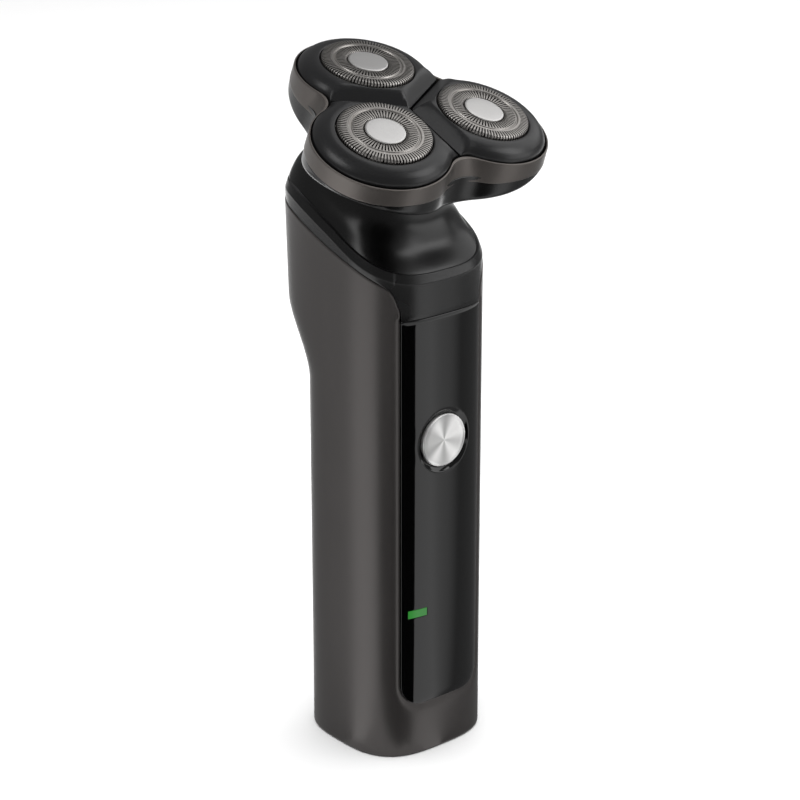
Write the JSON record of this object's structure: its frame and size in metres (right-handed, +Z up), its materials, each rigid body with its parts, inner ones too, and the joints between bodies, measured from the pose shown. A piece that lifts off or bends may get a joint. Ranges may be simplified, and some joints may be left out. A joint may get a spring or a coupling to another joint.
{
  "type": "rotary electric shaver",
  "caption": "Rotary shaver: bronze wrap shell, gloss panel with button and charge light, leaning pull-off head with three sprung cutter pods.",
  "frame": {"origin": "centre of the flat base, on the surface the shaver stands on", "axes": "+Z up along the handle, -Y out of the button panel, +X to the right when facing the panel"},
  "size_m": [0.0652, 0.0589, 0.1752],
  "materials": {
    "bronze_lacquer": "satin metallic lacquer",
    "band_bronze": "satin metallic lacquer",
    "panel_gloss": "piano gloss",
    "collar_satin": "satin",
    "neck_gloss": "gloss",
    "pod_black": "soft gloss",
    "black_plastic": "fine grain",
    "grey_plastic": "moulded",
    "gear_nylon": "moulded",
    "board_green": "solder mask",
    "chip_black": "moulded",
    "green_lens": "translucent",
    "lamp_white": "moulded",
    "silver_button": "spun",
    "cap_steel": "fine",
    "disc_steel": "polished",
    "blade_steel": "ground",
    "plain_steel": "turned",
    "motor_steel": "nickel plated",
    "sintered_bronze": "sintered",
    "copper_tag": "tinned",
    "black_rubber": "moulded",
    "cell_wrap": "shrink sleeve"
  },
  "bodies": {
    "handle": {"rear_shell": "bronze_lacquer", "collar": "collar_satin", "front_panel": "panel_gloss", "neck_cover": "neck_gloss", "base_cap": "black_plastic", "charging_socket": "plain_steel", "socket_tongue": "black_plastic", "inner_chassis": "grey_plastic", "circuit_board": "board_green", "board_chips": "chip_black", "tact_switch": "chip_black", "indicator_lens": "green_lens", "indicator_led": "lamp_white", "battery": "cell_wrap", "battery_tabs": "plain_steel", "motor_can": "motor_steel", "motor_end_cap": "black_plastic", "motor_terminals": "copper_tag", "drive_housing": "grey_plastic", "spindle_bearing": "sintered_bronze", "spindle_seal": "black_rubber", "neck_seal": "black_rubber", "button_seal": "black_rubber", "case_screws": "plain_steel", "motor_screws": "plain_steel"},
    "power_button": {"power_button": "silver_button", "button_stem": "black_plastic", "switch_plunger": "black_plastic"},
    "drive_line": {"motor_shaft": "plain_steel", "shaft_coupling": "sintered_bronze", "drive_spindle": "plain_steel"},
    "shaving_head": {"head_bowl": "neck_gloss", "head_band": "band_bronze", "gear_cover": "black_plastic", "cover_screws": "plain_steel", "gear_axles": "plain_steel", "drive_springs": "plain_steel"},
    "centre_gear": {"centre_gear": "gear_nylon"},
    "rear_gear": {"rear_gear": "gear_nylon"},
    "rear_pod": {"rear_pod": "pod_black", "rear_retainer": "grey_plastic"},
    "rear_cap": {"rear_cap": "cap_steel", "rear_cap_disc": "disc_steel"},
    "rear_cutter": {"rear_cutter": "blade_steel", "rear_drive_pin": "black_plastic"},
    "left_gear": {"left_gear": "gear_nylon"},
    "left_pod": {"left_pod": "pod_black", "left_retainer": "grey_plastic"},
    "left_cap": {"left_cap": "cap_steel", "left_cap_disc": "disc_steel"},
    "left_cutter": {"left_cutter": "blade_steel", "left_drive_pin": "black_plastic"},
    "right_gear": {"right_gear": "gear_nylon"},
    "right_pod": {"right_pod": "pod_black", "right_retainer": "grey_plastic"},
    "right_cap": {"right_cap": "cap_steel", "right_cap_disc": "disc_steel"},
    "right_cutter": {"right_cutter": "blade_steel", "right_drive_pin": "black_plastic"}
  },
  "joints": [
    {"name": "button_press", "type": "slide", "parent": "handle", "child": "power_button", "axis": [0, 1, 0], "range_m": [0, 0.0005], "stiffness_N_per_m": 900},
    {"name": "motor_spin", "type": "hinge", "parent": "handle", "child": "drive_line", "pos_m": [0, 0.00432, 0.1378], "axis": [0, -0.3584, 0.9336], "continuous": true},
    {"name": "head_release", "type": "slide", "parent": "handle", "child": "shaving_head", "axis": [0, -0.3584, 0.9336], "range_m": [0, 0.014]},
    {"name": "centre_gear_spin", "type": "hinge", "parent": "shaving_head", "child": "centre_gear", "pos_m": [0, -0.00285, 0.15647], "axis": [0, -0.3584, 0.9336], "continuous": true},
    {"name": "rear_gear_spin", "type": "hinge", "parent": "shaving_head", "child": "rear_gear", "pos_m": [0, 0.01358, 0.16278], "axis": [0, -0.3584, 0.9336], "continuous": true},
    {"name": "rear_pod_tilt", "type": "hinge", "parent": "shaving_head", "child": "rear_pod", "pos_m": [0, 0.01526, 0.16846], "axis": [1, 0, 0], "range_deg": [-4, 4], "stiffness_Nm_per_rad": 0.2},
    {"name": "rear_cap_press", "type": "slide", "parent": "rear_pod", "child": "rear_cap", "axis": [0, 0.284, -0.9588], "range_m": [0, 0.0008], "stiffness_N_per_m": 900, "deforming": ["drive_springs"]},
    {"name": "rear_cutter_spin", "type": "hinge", "parent": "rear_cap", "child": "rear_cutter", "pos_m": [0, 0.01, 0.17212], "axis": [0, -0.284, 0.9588], "continuous": true},
    {"name": "left_gear_spin", "type": "hinge", "parent": "shaving_head", "child": "left_gear", "pos_m": [-0.01524, -0.01106, 0.15332], "axis": [0, -0.3584, 0.9336], "continuous": true},
    {"name": "left_pod_tilt", "type": "hinge", "parent": "shaving_head", "child": "left_pod", "pos_m": [-0.01836, -0.01443, 0.15707], "axis": [-0.5, 0.8085, 0.3104], "range_deg": [-4, 4], "stiffness_Nm_per_rad": 0.2},
    {"name": "left_cap_press", "type": "slide", "parent": "left_pod", "child": "left_cap", "axis": [0.0679, 0.3939, -0.9166], "range_m": [0, 0.0008], "stiffness_N_per_m": 900, "deforming": ["drive_springs"]},
    {"name": "left_cutter_spin", "type": "hinge", "parent": "left_cap", "child": "left_cutter", "pos_m": [-0.01524, -0.01465, 0.16266], "axis": [-0.0679, -0.3939, 0.9166], "continuous": true},
    {"name": "right_gear_spin", "type": "hinge", "parent": "shaving_head", "child": "right_gear", "pos_m": [0.01524, -0.01106, 0.15332], "axis": [0, -0.3584, 0.9336], "continuous": true},
    {"name": "right_pod_tilt", "type": "hinge", "parent": "shaving_head", "child": "right_pod", "pos_m": [0.01836, -0.01443, 0.15707], "axis": [-0.5, -0.8085, -0.3104], "range_deg": [-4, 4], "stiffness_Nm_per_rad": 0.2},
    {"name": "right_cap_press", "type": "slide", "parent": "right_pod", "child": "right_cap", "axis": [-0.0679, 0.3939, -0.9166], "range_m": [0, 0.0008], "stiffness_N_per_m": 900, "deforming": ["drive_springs"]},
    {"name": "right_cutter_spin", "type": "hinge", "parent": "right_cap", "child": "right_cutter", "pos_m": [0.01524, -0.01465, 0.16266], "axis": [0.0679, -0.3939, 0.9166], "continuous": true}
  ],
  "couplings": [
    {"joint": "centre_gear_spin", "follows": "motor_spin", "ratio": 1},
    {"joint": "rear_gear_spin", "follows": "motor_spin", "ratio": -0.51724},
    {"joint": "rear_cutter_spin", "follows": "motor_spin", "ratio": -0.51724},
    {"joint": "left_gear_spin", "follows": "motor_spin", "ratio": -0.51724},
    {"joint": "left_cutter_spin", "follows": "motor_spin", "ratio": -0.51724},
    {"joint": "right_gear_spin", "follows": "motor_spin", "ratio": -0.51724},
    {"joint": "right_cutter_spin", "follows": "motor_spin", "ratio": -0.51724}
  ]
}
